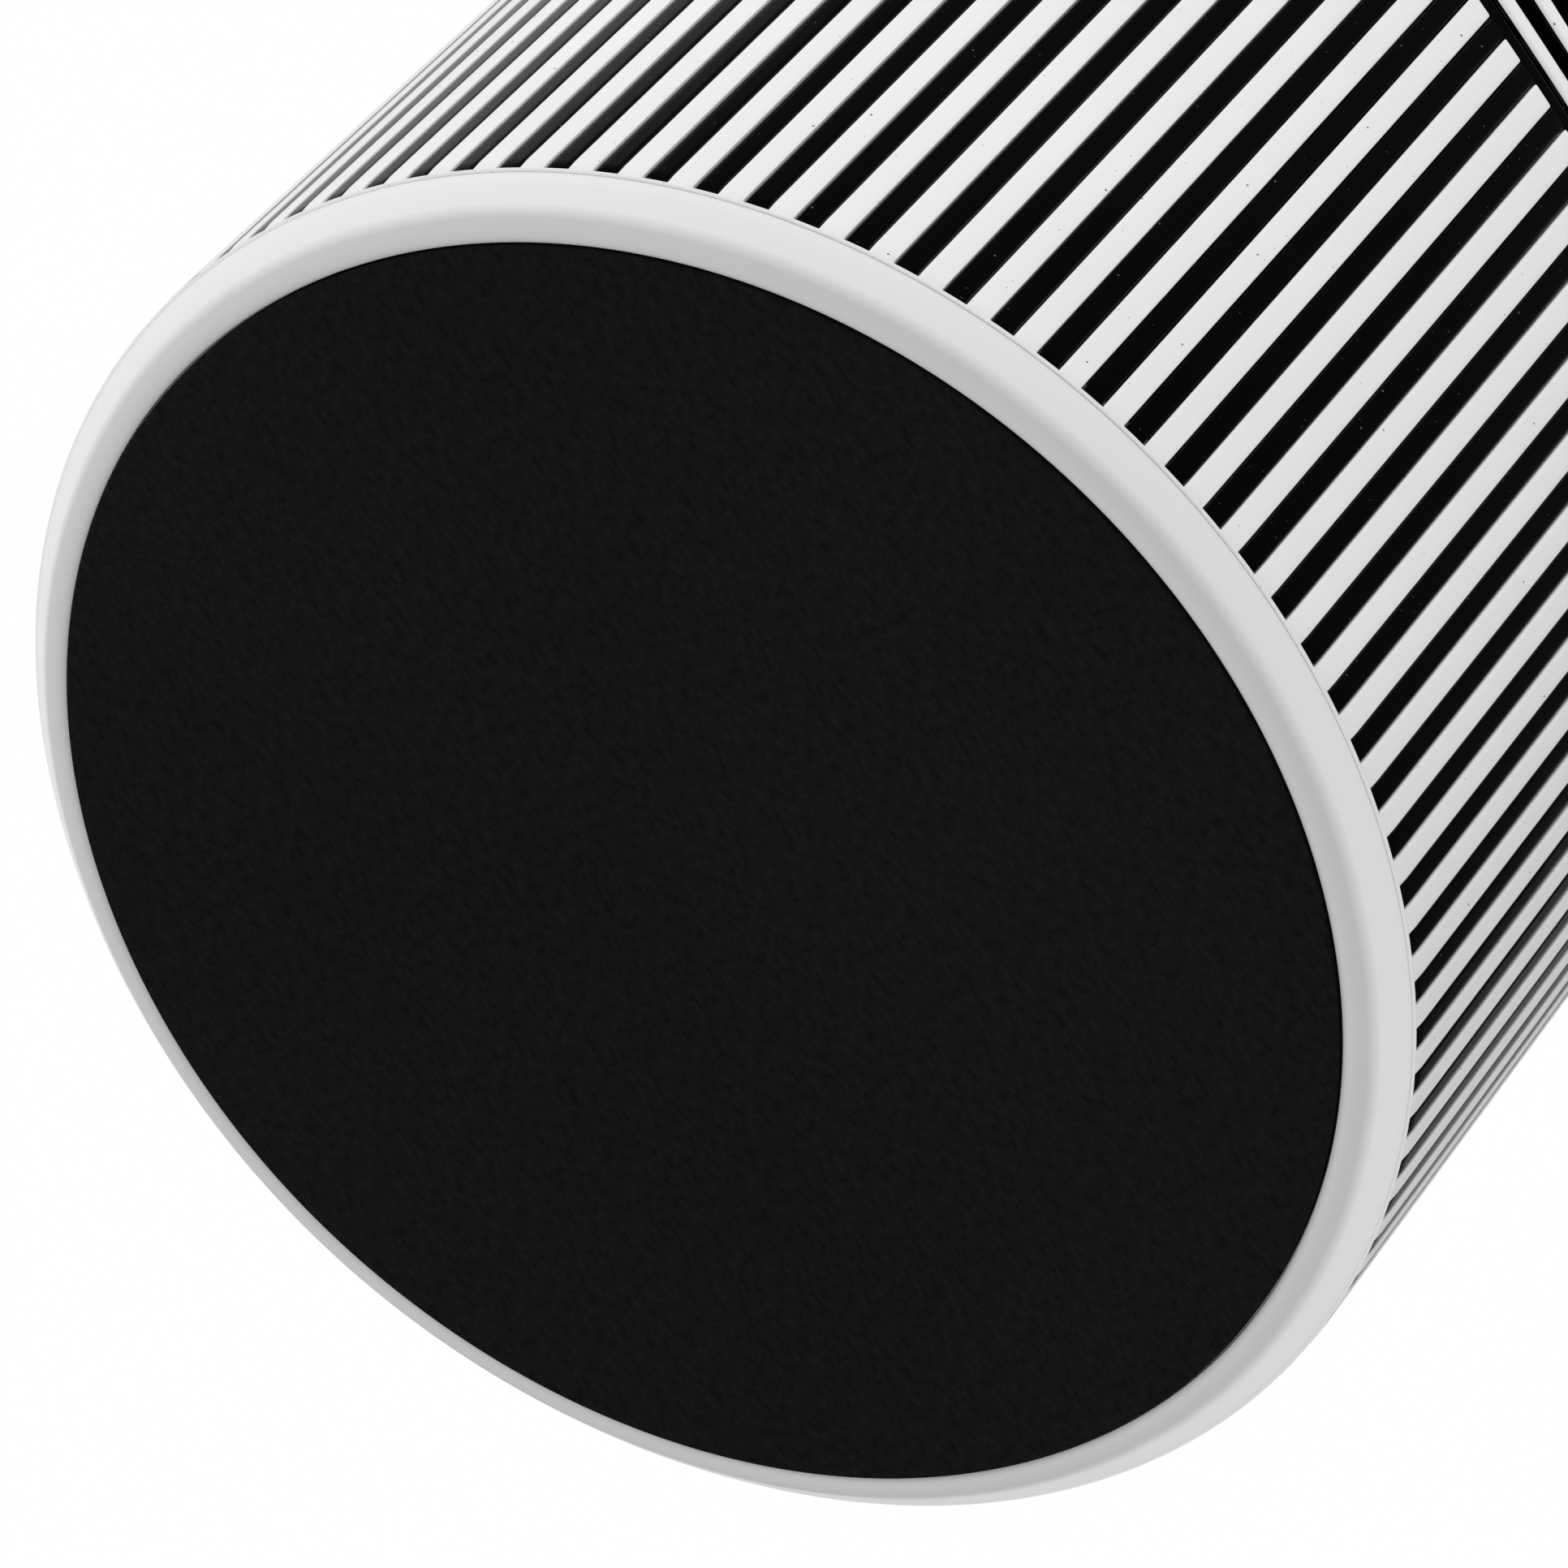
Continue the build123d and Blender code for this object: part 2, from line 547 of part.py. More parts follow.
with BuildPart() as board_screws:
    with Locations((0, -8, MAIN_BOARD_Z + BOARD_T)):
        with GridLocations(96, 56, 2, 2):
            Cylinder(2.5, 1.6, align=(Align.CENTER, Align.CENTER, Align.MIN))
            Cylinder(1.2, 5.0, align=(Align.CENTER, Align.CENTER, Align.MAX))
    with Locations((0, 0, SWITCH_BOARD_Z)):
        with PolarLocations(PANEL_SCREWS_AT, 4, start_angle=45):
            Cylinder(2.5, 1.6, align=(Align.CENTER, Align.CENTER, Align.MAX))
            Cylinder(1.2, 7.6, align=(Align.CENTER, Align.CENTER, Align.MIN))
parts["board_screws"] = board_screws

buttons = {}
for name, (x, y, size) in BUTTONS.items():
    with BuildPart() as button:
        with Locations((x, y, 346.0)):
            Cylinder(size, 4.0, align=(Align.CENTER, Align.CENTER, Align.MIN))
        fillet(button.edges().group_by(Axis.Z)[-1], 0.6)
        with Locations((x, y, 345.2)):
            Cylinder(size + 1.6, 1.5, align=(Align.CENTER, Align.CENTER, Align.MIN))
        with Locations((x, y, 342.3)):
            Cylinder(1.7, 4.0, align=(Align.CENTER, Align.CENTER, Align.MIN))
    parts[name + "_button"] = button

# ---------------------------------------------------------------- rear: inlet, wiring, sensor and its door

with BuildPart() as power_inlet:
    with Locations((0, 98, INLET_Z)):
        Box(18, 8, 12)
    with Locations((0, 99.7, INLET_Z)):
        Box(14.6, 11.4, 8.2)
    tube(BODY_R - 0.4, 0, 0, 40, mode=Mode.INTERSECT)
    with Locations((0, 101, INLET_Z)):
        Box(12.4, 12, 5.6, mode=Mode.SUBTRACT)
    for side in (-1, 1):
        with Locations(Location((side * 3.4, 94.4, INLET_Z), (-90, 0, 0))):
            Cylinder(0.9, 8.0, align=(Align.CENTER, Align.CENTER, Align.MIN))
parts["power_inlet"] = power_inlet

with BuildPart() as wiring:
    with Locations((0, WIRE_Y, 15.5)):
        Cylinder(1.5, 301, align=(Align.CENTER, Align.CENTER, Align.MIN))
    with Locations(Location((0, WIRE_Y, INLET_Z), (-90, 0, 0))):
        Cylinder(1.4, 1.8, align=(Align.CENTER, Align.CENTER, Align.MIN))
parts["wiring"] = wiring

with BuildPart() as dust_sensor:
    with Locations(Location(polar(88.5, 46, DOOR_MID), (0, 0, 46))):
        Box(15, 30, 18)
        with Locations((7.5, -6, 0)):
            Box(5, 9, 9, mode=Mode.SUBTRACT)
        with Locations((7.5, 7, 0)):
            Box(3, 7, 3, mode=Mode.SUBTRACT)
parts["dust_sensor"] = dust_sensor

with BuildPart() as door_pin:
    with Locations(polar(HINGE_R, HINGE_A, DOOR_MID)):
        Cylinder(PIN_R, DOOR_Z1 - DOOR_Z0 + 5)
parts["door_pin"] = door_pin

with BuildPart() as sensor_door:
    wedge((HINGE_A, DOOR_END, DOOR_Z0 + 0.3, DOOR_Z1 - 0.3), BODY_R, SKIN_R)
    with Locations(polar(HINGE_R, HINGE_A, DOOR_MID)):
        Cylinder(WALL / 2, DOOR_Z1 - DOOR_Z0 - 0.6)
        Cylinder(PIN_R + 0.05, 40, mode=Mode.SUBTRACT)
    for n in range(6):
        slit_a = HINGE_A + 5 + n * 1.4
        with Locations(Location(polar(BODY_R, slit_a, DOOR_MID), (0, 0, slit_a))):
            Box(8, 1.1, 11, mode=Mode.SUBTRACT)
    with Locations(Location(polar(BODY_R, DOOR_END, DOOR_MID), (0, 0, DOOR_END))):
        Cylinder(1.4, 9, mode=Mode.SUBTRACT)
parts["sensor_door"] = sensor_door

for name, built in parts.items():
    built.part.label = name
    export_step(built.part, "parts/" + name + ".step")
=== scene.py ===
import math

import bmesh
import bpy
from mathutils import Matrix, Vector


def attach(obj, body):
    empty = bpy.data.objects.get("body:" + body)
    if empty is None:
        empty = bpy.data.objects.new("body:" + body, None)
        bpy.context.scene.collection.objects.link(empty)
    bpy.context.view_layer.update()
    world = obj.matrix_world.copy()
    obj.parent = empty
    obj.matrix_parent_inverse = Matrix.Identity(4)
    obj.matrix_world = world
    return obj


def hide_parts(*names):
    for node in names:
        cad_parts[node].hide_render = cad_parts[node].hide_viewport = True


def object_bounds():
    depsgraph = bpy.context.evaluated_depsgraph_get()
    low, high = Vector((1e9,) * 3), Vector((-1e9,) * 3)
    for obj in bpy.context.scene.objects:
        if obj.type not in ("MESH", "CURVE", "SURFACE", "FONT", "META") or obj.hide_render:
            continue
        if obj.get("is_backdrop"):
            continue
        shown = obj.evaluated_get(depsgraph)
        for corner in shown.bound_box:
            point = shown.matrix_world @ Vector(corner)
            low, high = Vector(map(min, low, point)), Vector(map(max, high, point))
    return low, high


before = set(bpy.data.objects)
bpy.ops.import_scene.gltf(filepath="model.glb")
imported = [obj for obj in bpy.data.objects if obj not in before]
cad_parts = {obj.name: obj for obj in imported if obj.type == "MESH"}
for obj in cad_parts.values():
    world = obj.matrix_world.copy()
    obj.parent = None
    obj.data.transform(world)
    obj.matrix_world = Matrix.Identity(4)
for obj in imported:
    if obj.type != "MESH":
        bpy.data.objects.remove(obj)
bounds_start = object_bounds()

MM = 0.001

# Sizes are in mm and angles in degrees; R is a distance from the body axis and Z a height.
BODY_R = 105.0
HEIGHT = 350.0
FRONT = -90.0

# White bars with black blades between them. The outlet cuts those within REACH degrees of the front.
SKIN_R = 102.5
BLADE_R = 104.85
BLADE_BACK_R = 98.4
BARS = 90
PITCH = 360.0 / BARS
SLOT_W = math.pi * BODY_R / BARS
BLADE_W = SLOT_W - 0.6
BAR_EDGE = 0.22
BLADE_EDGE = 0.14
STRIPE_Z0 = 6.4
STRIPE_Z1 = 339.5
BAR_INTO_BAND = 0.15
BLADE_OFF_BAND = 0.2
BLADE_OFF_PATCH = 0.3
BAR_REACH = 61.4
BLADE_REACH = 60.5

# Bands that join the bars, and the draw-in of their foot
SHELL_Z0 = 6.1
SHELL_Z1 = 340.0
BAND_R = 96.5
BAND_H = 4.5
TAPER_Z1 = 8.3
TAPER = 0.15

# Base ring and pad
PAD_R = 96.4
PAD_TOP = 2.0
RING_IN_R = 96.7
RING_FLOOR = 0.4
RIM_R = 104.2
RING_TOP = 5.8
RING_LIP = 0.2
RECESS_R = 95.5
FLANGE_R = 80.0
FLANGE_TOP = 4.2

# Hoops of the black cage, and its rim round the outlet
HOOPS = 9
HOOP_IN_R = 98.0
HOOP_OUT_R = 100.4
HOOP_H = 3.0
CAGE_RIM_W = 3.2

# Round outlet: its radii are distances from its own axis. CROWN is the depth of a ring's white part,
# and each step of CROWN_EDGE is (distance in from the ring's side, depth below its crown).
OUTLET_Z = 213.6
OUTLET_R = 92.4
RINGS = 12
RING_GAP = 3.9
RING_PITCH = 7.0
RING_W = 3.3
CROWN = 0.4
CROWN_EDGE = ((0.0, 0.9), (0.12, 0.45), (0.4, 0.14), (0.85, 0.0))
WEB_BACK_R = 98.0
WEB_FRONT_R = 102.3
WEB_RIM_R = 104.1
WEB_SPOKES = 12

# Fan: radii from the outlet axis
HUB_R = 24.0
BLADE_ROOT_R = 22.5
BLADE_TIP_R = 73.6
FAN_BLADES = 7

# Places where the bars stop short, as (from angle, to angle, from height, to height)
DOOR_PATCH = (34.0, 58.0, 310.0, SHELL_Z1)
INLET_PATCH = (82.0, 98.0, SHELL_Z0, 36.0)


# ------------------------------------------------------------------ materials


class Graph:
    """Short hand for one node tree; place names the coordinates that its textures read."""

    def __init__(self, tree, place):
        self.tree = tree
        self.place = self.new("ShaderNodeTexCoord").outputs[place]

    def new(self, kind, **values):
        node = self.tree.nodes.new(kind)
        for key, value in values.items():
            if hasattr(node, key):
                setattr(node, key, value)
            else:
                node.inputs[key.replace("_", " ")].default_value = value
        return node

    def link(self, a, b):
        self.tree.links.new(a, b)

    def noise(self, scale, detail=3.0, stretch=(1, 1, 1), rough=0.55):
        mapping = self.new("ShaderNodeMapping")
        mapping.inputs["Scale"].default_value = stretch
        self.link(self.place, mapping.inputs["Vector"])
        tex = self.new("ShaderNodeTexNoise", Scale=scale, Detail=detail, Roughness=rough)
        self.link(mapping.outputs["Vector"], tex.inputs["Vector"])
        return tex.outputs["Fac"]

    def ramp(self, fac, stops):
        node = self.new("ShaderNodeValToRGB")
        ramp = node.color_ramp
        while len(ramp.elements) < len(stops):
            ramp.elements.new(0.5)
        for element, (at, color) in zip(ramp.elements, stops):
            element.position = at
            element.color = (*color, 1) if len(color) == 3 else color
        self.link(fac, node.inputs["Fac"])
        return node.outputs["Color"]

    def span(self, fac, low, high, out_low, out_high):
        node = self.new("ShaderNodeMapRange")
        node.inputs["From Min"].default_value = low
        node.inputs["From Max"].default_value = high
        node.inputs["To Min"].default_value = out_low
        node.inputs["To Max"].default_value = out_high
        self.link(fac, node.inputs["Value"])
        return node.outputs["Result"]

    def math(self, operation, a, b=None):
        node = self.new("ShaderNodeMath", operation=operation)
        for socket, value in zip(node.inputs, (a, b)):
            if value is None:
                continue
            if isinstance(value, (int, float)):
                socket.default_value = value
            else:
                self.link(value, socket)
        return node.outputs["Value"]

    def along(self, direction):
        """How far the place lies along a direction."""
        node = self.new("ShaderNodeVectorMath", operation="DOT_PRODUCT")
        self.link(self.place, node.inputs[0])
        node.inputs[1].default_value = direction
        return node.outputs["Value"]

    def choose(self, fac, a, b):
        """Number a where fac is 0 and b where it is 1."""
        node = self.new("ShaderNodeMix", data_type="FLOAT")
        self.link(fac, node.inputs["Factor"])
        for socket, value in ((node.inputs[2], a), (node.inputs[3], b)):
            if isinstance(value, (int, float)):
                socket.default_value = value
            else:
                self.link(value, socket)
        return node.outputs[0]

    def blend(self, fac, a, b):
        """Colour a where fac is 0 and b where it is 1."""
        node = self.new("ShaderNodeMix", data_type="RGBA")
        for socket, value in ((node.inputs["Factor"], fac), (node.inputs[6], a), (node.inputs[7], b)):
            if isinstance(value, (int, float)):
                socket.default_value = value
            elif isinstance(value, (tuple, list)):
                socket.default_value = (*value, 1)
            else:
                self.link(value, socket)
        return node.outputs[2]

    def specks(self, scale, size, keep):
        """Small round dust grains: one in some of the cells of a grid about 1/scale metres wide."""
        cells = self.new("ShaderNodeTexVoronoi", feature="F1", Scale=scale)
        self.link(self.place, cells.inputs["Vector"])
        near = self.math("LESS_THAN", cells.outputs["Distance"], size)
        split = self.new("ShaderNodeSeparateColor")
        self.link(cells.outputs["Color"], split.inputs["Color"])
        some = self.math("GREATER_THAN", split.outputs[0], 1.0 - keep)
        return self.math("MULTIPLY", near, some)


class Nodes(Graph):
    """The graph of a new material."""

    def __init__(self, name, rough=0.5, metallic=0.0, coat=0.0, ior=1.5, spec=0.5, sheen=0.0):
        self.mat = bpy.data.materials.new(name)
        self.mat.use_nodes = True
        super().__init__(self.mat.node_tree, "Object")
        self.shader = self.tree.nodes["Principled BSDF"]
        self.shader.inputs["Roughness"].default_value = rough
        self.shader.inputs["Metallic"].default_value = metallic
        self.shader.inputs["Coat Weight"].default_value = coat
        self.shader.inputs["Coat Roughness"].default_value = 0.06
        self.shader.inputs["IOR"].default_value = ior
        self.shader.inputs["Specular IOR Level"].default_value = spec
        self.shader.inputs["Sheen Weight"].default_value = sheen

    def bump(self, height, strength, distance):
        node = self.new("ShaderNodeBump", Strength=strength, Distance=distance)
        self.link(height, node.inputs["Height"])
        self.link(node.outputs["Normal"], self.shader.inputs["Normal"])


def plastic(name, low, high, rough, dust=None, dust_keep=0.0, dust_scale=160, grain=2600,
            grain_height=0.00003, wobble=0.0, **shader):
    """Moulded plastic: slow colour drift, fine moulded grain, uneven gloss and a few dust grains."""
    m = Nodes(name, rough=rough, **shader)
    drift = m.noise(14, 4)
    color = m.ramp(drift, [(0.3, low), (0.7, high)])
    if dust:
        coarse = m.specks(dust_scale, 0.05, dust_keep)
        fine = m.math("MULTIPLY", m.specks(dust_scale * 2.1, 0.07, dust_keep * 0.6), 0.6)
        color = m.blend(fine, m.blend(coarse, color, dust), dust)
    m.link(color, m.shader.inputs["Base Color"])
    gloss = m.noise(45, 5)
    m.link(m.span(gloss, 0.3, 0.7, rough * 0.88, min(1.0, rough * 1.14)), m.shader.inputs["Roughness"])
    height = m.noise(grain, 2)
    if wobble:
        waves = m.noise(90, 2, (1, 1, 0.12))
        height = m.math("ADD", height, m.math("MULTIPLY", waves, wobble))
    m.bump(height, 0.35, grain_height)
    return m.mat


def metal(name, low, high, rough, brushed=(1, 1, 14)):
    m = Nodes(name, rough=rough, metallic=1.0)
    color = m.ramp(m.noise(60, 4), [(0.3, low), (0.7, high)])
    m.link(color, m.shader.inputs["Base Color"])
    lines = m.noise(900, 3, brushed)
    m.link(m.span(lines, 0.3, 0.7, rough * 0.7, rough * 1.3), m.shader.inputs["Roughness"])
    m.bump(lines, 0.25, 0.00002)
    return m.mat


def pad_material():
    """Dense felt-like rubber sheet: short cross-wise fibres over a fine mottle."""
    m = Nodes("pad_felt", rough=0.95, spec=0.12)
    mottle = m.noise(620, 5, (1, 1, 1), 0.75)
    fibres = m.noise(900, 3, (0.35, 1.6, 1))
    both = m.math("ADD", m.math("MULTIPLY", mottle, 0.7), m.math("MULTIPLY", fibres, 0.3))
    dark, mid, light = (0.0038, 0.0038, 0.0038), (0.0076, 0.0076, 0.0077), (0.0115, 0.0115, 0.0117)
    fine = m.ramp(both, [(0.34, dark), (0.5, mid), (0.68, light)])
    broad = m.ramp(m.noise(9, 3), [(0.35, (0.88, 0.88, 0.88)), (0.65, (1, 1, 1))])
    tint = m.new("ShaderNodeMix", data_type="RGBA", blend_type="MULTIPLY")
    tint.inputs["Factor"].default_value = 1.0
    m.link(fine, tint.inputs[6])
    m.link(broad, tint.inputs[7])
    m.link(tint.outputs[2], m.shader.inputs["Base Color"])
    m.link(m.span(mottle, 0.3, 0.7, 0.88, 1.0), m.shader.inputs["Roughness"])
    m.bump(both, 0.6, 0.00012)
    return m.mat


def paper_material():
    m = Nodes("filter_paper", rough=0.9, spec=0.2)
    fibres = m.noise(1400, 5, (1, 1, 0.3), 0.7)
    color = m.ramp(fibres, [(0.3, (0.78, 0.77, 0.72)), (0.7, (0.9, 0.89, 0.85))])
    m.link(color, m.shader.inputs["Base Color"])
    m.link(m.span(fibres, 0.3, 0.7, 0.85, 0.98), m.shader.inputs["Roughness"])
    m.bump(fibres, 0.5, 0.0001)
    return m.mat


def board_material():
    m = Nodes("circuit_board", rough=0.35, coat=0.3)
    mask = m.noise(240, 2, (1, 4, 1))
    tracks = m.math("GREATER_THAN", mask, 0.56)
    m.link(m.blend(tracks, (0.008, 0.10, 0.045), (0.02, 0.2, 0.08)), m.shader.inputs["Base Color"])
    m.link(m.span(m.noise(80, 3), 0.3, 0.7, 0.28, 0.45), m.shader.inputs["Roughness"])
    m.bump(tracks, 0.3, 0.00003)
    return m.mat


def base_ring_shaded_material():
    """White plastic with painted shade: it turns greyer below the ring's shoulder, on the face nearest the
    floor, standing in for the shade there.
    """
    m = Nodes("base_ring_white_painted_shade", rough=0.55, spec=0.3)
    split = m.new("ShaderNodeSeparateXYZ")
    m.link(m.place, split.inputs["Vector"])
    wander = m.span(m.noise(30, 3), 0.3, 0.7, -0.0001, 0.0001)
    height = m.span(m.math("ADD", split.outputs["Z"], wander), 0.0004, 0.0040, 0.0, 1.0)
    # Painted shade: these greys darken the low face that looks at the floor and lighten the side above the
    # shoulder.
    painted_shade_greys = ((0.0, 0.60), (0.22, 0.61), (0.62, 0.865), (1.0, 0.88))
    color = m.ramp(height, [(at, (grey, grey, grey)) for at, grey in painted_shade_greys])
    color = m.blend(m.specks(150, 0.04, 0.05), color, (0.3, 0.29, 0.28))
    m.link(color, m.shader.inputs["Base Color"])
    m.link(m.span(m.noise(45, 5), 0.3, 0.7, 0.5, 0.62), m.shader.inputs["Roughness"])
    m.bump(m.noise(2600, 2), 0.35, 0.00003)
    return m.mat


def lit_material(name, color, strength):
    m = Nodes(name, rough=0.3)
    glow = m.ramp(m.noise(120, 3), [(0.3, tuple(0.86 * c for c in color)), (0.7, color)])
    m.link(glow, m.shader.inputs["Base Color"])
    m.link(glow, m.shader.inputs["Emission Color"])
    m.shader.inputs["Emission Strength"].default_value = strength
    m.bump(m.noise(1500, 2), 0.2, 0.00002)
    return m.mat


WHITE = plastic("white_bars", (0.83, 0.83, 0.825), (0.875, 0.875, 0.87), 0.42,
                dust=(0.16, 0.15, 0.14), dust_keep=0.5, dust_scale=260, wobble=0.4)
WHITE_RING = plastic("white_ring", (0.82, 0.82, 0.82), (0.845, 0.845, 0.845), 0.55,
                     dust=(0.4, 0.39, 0.38), dust_keep=0.03, spec=0.35)
BASE_RING = base_ring_shaded_material()
BLACK = plastic("black_gloss", (0.0010, 0.0010, 0.0012), (0.0020, 0.0020, 0.0022), 0.2,
                dust=(0.09, 0.09, 0.09), dust_keep=0.6, dust_scale=280, grain=1400, wobble=1.0, spec=0.3)
DARK = plastic("dark_matte", (0.018, 0.018, 0.02), (0.028, 0.028, 0.03), 0.55,
               dust=(0.2, 0.19, 0.18), dust_keep=0.15)
DUCT = plastic("duct_black", (0.003, 0.003, 0.0035), (0.006, 0.006, 0.0065), 0.6,
               dust=(0.1, 0.1, 0.1), dust_keep=0.08, spec=0.25)
GREY = plastic("grey_plastic", (0.40, 0.41, 0.42), (0.46, 0.47, 0.48), 0.55,
               dust=(0.2, 0.2, 0.2), dust_keep=0.2)
PANEL = plastic("panel_black", (0.008, 0.008, 0.009), (0.013, 0.013, 0.014), 0.34,
                dust=(0.25, 0.25, 0.25), dust_keep=0.22)
BUTTON = plastic("button_black", (0.016, 0.016, 0.017), (0.024, 0.024, 0.025), 0.48,
                 dust=(0.25, 0.25, 0.25), dust_keep=0.1)
ICON = plastic("icon_print", (0.72, 0.73, 0.74), (0.8, 0.81, 0.82), 0.5)
CAP = plastic("filter_cap", (0.62, 0.65, 0.67), (0.7, 0.73, 0.75), 0.5,
              dust=(0.25, 0.24, 0.22), dust_keep=0.25)
FOAM = plastic("foam_seal", (0.03, 0.03, 0.03), (0.06, 0.06, 0.06), 0.95,
               grain=1500, grain_height=0.0002, spec=0.15)
CARBON = plastic("carbon_core", (0.01, 0.01, 0.01), (0.03, 0.03, 0.03), 0.85,
                 grain=900, grain_height=0.0004, spec=0.2)
MESH = plastic("mesh_sleeve", (0.62, 0.64, 0.66), (0.72, 0.74, 0.76), 0.7,
               grain=1800, grain_height=0.0001)
HANDLE = plastic("handle_blue", (0.05, 0.22, 0.33), (0.07, 0.27, 0.39), 0.4)
CHIP = plastic("chip_black", (0.012, 0.012, 0.013), (0.03, 0.03, 0.032), 0.4)
WIRE = plastic("wire_sleeve", (0.012, 0.012, 0.012), (0.025, 0.025, 0.025), 0.6)
STEEL = metal("steel", (0.52, 0.52, 0.53), (0.66, 0.66, 0.67), 0.3)
NICKEL = metal("nickel", (0.66, 0.65, 0.62), (0.76, 0.75, 0.72), 0.18, (1, 1, 1))
COPPER = metal("copper_winding", (0.5, 0.2, 0.09), (0.7, 0.32, 0.16), 0.35, (1, 18, 1))
BRONZE = metal("bronze", (0.5, 0.34, 0.14), (0.6, 0.44, 0.2), 0.4, (1, 12, 1))
PAD = pad_material()
PAPER = paper_material()
BOARD = board_material()
LIT = lit_material("light_guide", (0.55, 0.9, 1.0), 1.6)

LOOKS = {
    "base_magnets": NICKEL, "base_plate": GREY, "base_screws": STEEL, "catch_plates": STEEL,
    "outlet_duct": DUCT, "fan_deck": DARK, "plenum_liner": GREY, "plenum_lid": GREY,
    "fan_shroud": DARK, "shroud_screws": STEEL, "motor_stator": COPPER, "fan_bearings": BRONZE,
    "top_panel": PANEL, "light_ring": LIT, "indicator_lenses": LIT, "control_board": BOARD,
    "board_switches": CHIP, "main_board": BOARD, "board_parts": CHIP, "board_screws": STEEL,
    "power_inlet": DARK, "wiring": WIRE, "dust_sensor": CHIP, "door_pin": STEEL, "sensor_door": WHITE,
    "filter_media": PAPER, "filter_core": CARBON, "pre_filter": MESH, "filter_cap_lower": CAP,
    "filter_cap_upper": CAP, "filter_seal": FOAM, "filter_handle": HANDLE, "fan_shaft": STEEL,
    "rotor_magnet": NICKEL,
}

for name, look in LOOKS.items():
    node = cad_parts[name]
    node.data.materials.clear()
    node.data.materials.append(look)


# ------------------------------------------------------------------ geometry


def solid(name, pieces, body, look, replaced=(), angle=35.0, weld=True):
    """One object from several closed pieces, each (points in mm, faces)."""
    points, faces = [], []
    for piece_points, piece_faces in pieces:
        start = len(points)
        points.extend((x * MM, y * MM, z * MM) for x, y, z in piece_points)
        faces.extend(tuple(start + i for i in face) for face in piece_faces)
    data = bpy.data.meshes.new(name)
    data.from_pydata(points, [], faces)
    work = bmesh.new()
    work.from_mesh(data)
    if weld:
        bmesh.ops.remove_doubles(work, verts=work.verts, dist=1e-7)
    bmesh.ops.recalc_face_normals(work, faces=work.faces)
    work.to_mesh(data)
    work.free()
    data.shade_smooth()
    data.set_sharp_from_angle(angle=math.radians(angle))
    data.materials.append(look)
    thing = bpy.data.objects.new(name, data)
    bpy.context.scene.collection.objects.link(thing)
    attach(thing, body)
    if replaced:
        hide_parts(*replaced)
    return thing


def swept(loops, closed=False):
    """Skin over loops of equal length: joined end to end, or capped at both ends."""
    count = len(loops[0])
    points = [p for loop in loops for p in loop]
    faces = []
    spans = len(loops) if closed else len(loops) - 1
    for i in range(spans):
        a, b = i * count, ((i + 1) % len(loops)) * count
        for j in range(count):
            k = (j + 1) % count
            faces.append((a + j, a + k, b + k, b + j))
    if not closed:
        faces.append(tuple(range(count)))
        faces.append(tuple((len(loops) - 1) * count + j for j in reversed(range(count))))
    return points, faces


def around(radius, degrees, height):
    a = math.radians(degrees)
    return (radius * math.cos(a), radius * math.sin(a), height)


def lathe(outline, steps=360):
    """Closed (radius, height) outline turned about the body axis."""
    return swept([[around(r, 360.0 * n / steps, z) for r, z in outline] for n in range(steps)], closed=True)


def arc(outline, start, end, steps):
    """The same over part of a turn."""
    turns = [start + (end - start) * n / steps for n in range(steps + 1)]
    return swept([[around(r, turn, z) for r, z in outline] for turn in turns])


def rounded(points, radius, steps=4, keep=()):
    """Closed outline with its corners rounded, except those named in keep."""
    out = []
    count = len(points)
    for i, point in enumerate(points):
        if i in keep:
            out.append(point)
            continue
        here = Vector(point)
        before = Vector(points[i - 1]) - here
        after = Vector(points[(i + 1) % count]) - here
        reach = min(radius, before.length * 0.45, after.length * 0.45)
        a = here + before.normalized() * reach
        b = here + after.normalized() * reach
        for n in range(steps + 1):
            t = n / steps
            p = a * (1 - t) ** 2 + here * 2 * t * (1 - t) + b * t ** 2
            out.append((p.x, p.y))
    return out


def bezier(a, b, c, d, steps=14):
    """Points of a cubic curve, both ends included."""
    out = []
    for n in range(steps + 1):
        t = n / steps
        k = ((1 - t) ** 3, 3 * t * (1 - t) ** 2, 3 * t * t * (1 - t), t ** 3)
        out.append(tuple(sum(w * p[i] for w, p in zip(k, (a, b, c, d))) for i in (0, 1)))
    return out


def outlet_edge(x, side, radius=OUTLET_R):
    """Height of the outlet circle at x to the side, above (1) or below (-1) its centre, or None."""
    inside = radius * radius - x * x
    return OUTLET_Z + side * math.sqrt(inside) if inside > 0 else None


def bar_loop(middle, inner, outer, half_in, half_out, edge):
    """Corners of an upright bar's section as (radius, angle): round front edges, flat sides."""
    turn = math.degrees(edge / outer)
    side = half_out - turn
    loop = [(inner, -half_in), (outer - edge, -half_out), (outer - 0.3 * edge, -half_out + 0.28 * turn)]
    loop += [(outer, side * f) for f in (-1, -0.5, 0, 0.5, 1)]
    loop += [(outer - 0.3 * edge, half_out - 0.28 * turn), (outer - edge, half_out), (inner, half_in)]
    return [(r, middle + a) for r, a in loop]


def foot_taper(radius, height):
    """How far the shell's outer face draws in just above the base ring."""
    if radius <= SKIN_R + 0.5:
        return 0.0
    return TAPER * min(max((TAPER_Z1 - height) / (TAPER_Z1 - SHELL_Z0), 0.0), 1.0)


